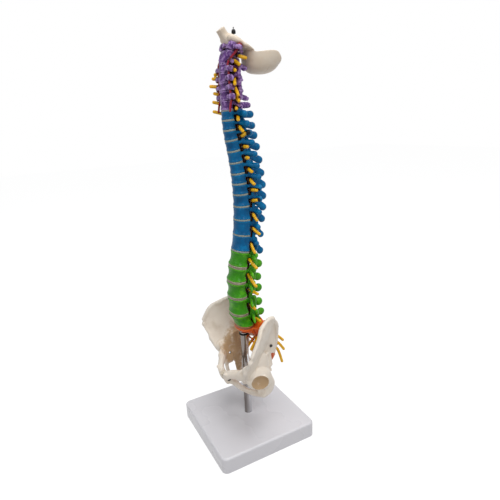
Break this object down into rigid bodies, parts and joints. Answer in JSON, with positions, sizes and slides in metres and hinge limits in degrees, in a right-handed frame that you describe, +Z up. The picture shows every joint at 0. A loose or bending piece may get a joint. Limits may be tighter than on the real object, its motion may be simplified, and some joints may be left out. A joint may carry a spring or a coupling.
{
  "type": "spine anatomy model",
  "caption": "Half-size teaching model of a human spine with pelvis and cut occiput, regions painted in colours, strung on a flexible core over a chromed rod in a square white base.",
  "frame": {"origin": "centre of the base's underside, on the surface it stands on", "axes": "+Z up along the rod, the model faces -Y, its left side is +X"},
  "size_m": [0.12, 0.12, 0.4527],
  "materials": {
    "base_white": "satin moulded ABS",
    "rod_chrome": "polished",
    "black_fitting": "matte black",
    "screw_steel": "dull zinc",
    "bone_ivory": "ivory moulding with brownish shading in the hollows",
    "cervical_purple": "painted, satin",
    "thoracic_blue": "painted, satin",
    "lumbar_green": "painted, satin",
    "sacrum_orange": "painted, satin",
    "disc_grey": "soft pad, satin",
    "nerve_yellow": "soft moulding, satin",
    "artery_crimson": "soft moulding, satin"
  },
  "bodies": {
    "root": {"C1": "cervical_purple", "C2": "cervical_purple", "C3": "cervical_purple", "C4": "cervical_purple", "C5": "cervical_purple", "C6": "cervical_purple", "C7": "cervical_purple", "T1": "thoracic_blue", "T2": "thoracic_blue", "T3": "thoracic_blue", "T4": "thoracic_blue", "T5": "thoracic_blue", "T6": "thoracic_blue", "T7": "thoracic_blue", "T8": "thoracic_blue", "T9": "thoracic_blue", "T10": "thoracic_blue", "T11": "thoracic_blue", "T12": "thoracic_blue", "L1": "lumbar_green", "L2": "lumbar_green", "L3": "lumbar_green", "L4": "lumbar_green", "L5": "lumbar_green", "disc_C7_T1": "disc_grey", "disc_T1_T2": "disc_grey", "disc_T2_T3": "disc_grey", "disc_T3_T4": "disc_grey", "disc_T4_T5": "disc_grey", "disc_T5_T6": "disc_grey", "disc_T6_T7": "disc_grey", "disc_T7_T8": "disc_grey", "disc_T8_T9": "disc_grey", "disc_T9_T10": "disc_grey", "disc_T10_T11": "disc_grey", "disc_T11_T12": "disc_grey", "disc_T12_L1": "disc_grey", "disc_L1_L2": "disc_grey", "disc_L2_L3": "disc_grey", "disc_L3_L4": "disc_grey", "disc_L4_L5": "disc_grey", "disc_L5_S1": "disc_grey", "base": "base_white", "stand_rod": "rod_chrome", "rod_ring": "black_fitting", "rod_screw": "screw_steel", "flexible_core": "black_fitting", "stopper": "black_fitting", "hanging_eye": "screw_steel", "occiput": "bone_ivory", "sacrum_and_coccyx": "sacrum_orange", "hip_bone_left": "bone_ivory", "hip_bone_right": "bone_ivory", "pubic_disc": "disc_grey", "pubic_screw": "screw_steel", "sacroiliac_screw_left": "screw_steel", "sacroiliac_screw_right": "screw_steel", "spinal_cord": "nerve_yellow", "vertebral_artery_left": "artery_crimson", "vertebral_artery_right": "artery_crimson"}
  },
  "joints": []
}
